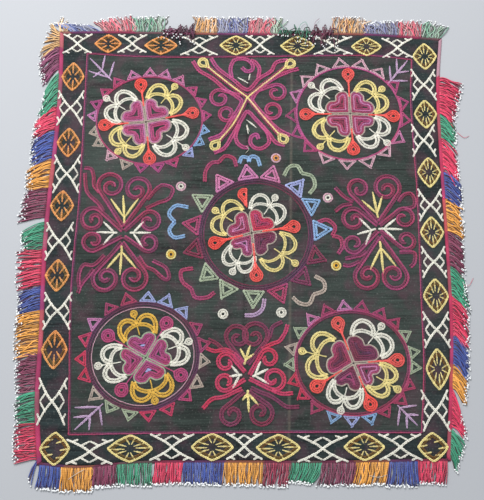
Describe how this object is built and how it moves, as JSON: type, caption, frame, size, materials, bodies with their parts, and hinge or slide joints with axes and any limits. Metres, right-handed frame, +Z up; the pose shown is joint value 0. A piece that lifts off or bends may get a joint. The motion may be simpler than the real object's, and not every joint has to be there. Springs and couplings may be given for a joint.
{
  "type": "embroidered mirror cover",
  "caption": "Square embroidered textile cover of two joined dark ground panels, edged on all sides with a beaded silk fringe; it lies face up on a surface.",
  "frame": {"origin": "on the surface it lies on, under the middle of the box round the whole cover with its fringe", "axes": "+Z up from the surface through the face, +Y toward the cover's top edge, +X toward its right edge"},
  "size_m": [0.6366, 0.6884, 0.0039],
  "materials": {
    "ground": "matt black cotton with a slubbed weave, covered in silk chain stitch",
    "fringe": "soft silk strands in blocks of red, blue, orange, maroon and green"
  },
  "bodies": {
    "root": {"panel_left": "ground", "panel_right": "ground", "fringe_left": "fringe", "fringe_top": "fringe", "fringe_right": "fringe", "fringe_bottom": "fringe"}
  },
  "joints": []
}
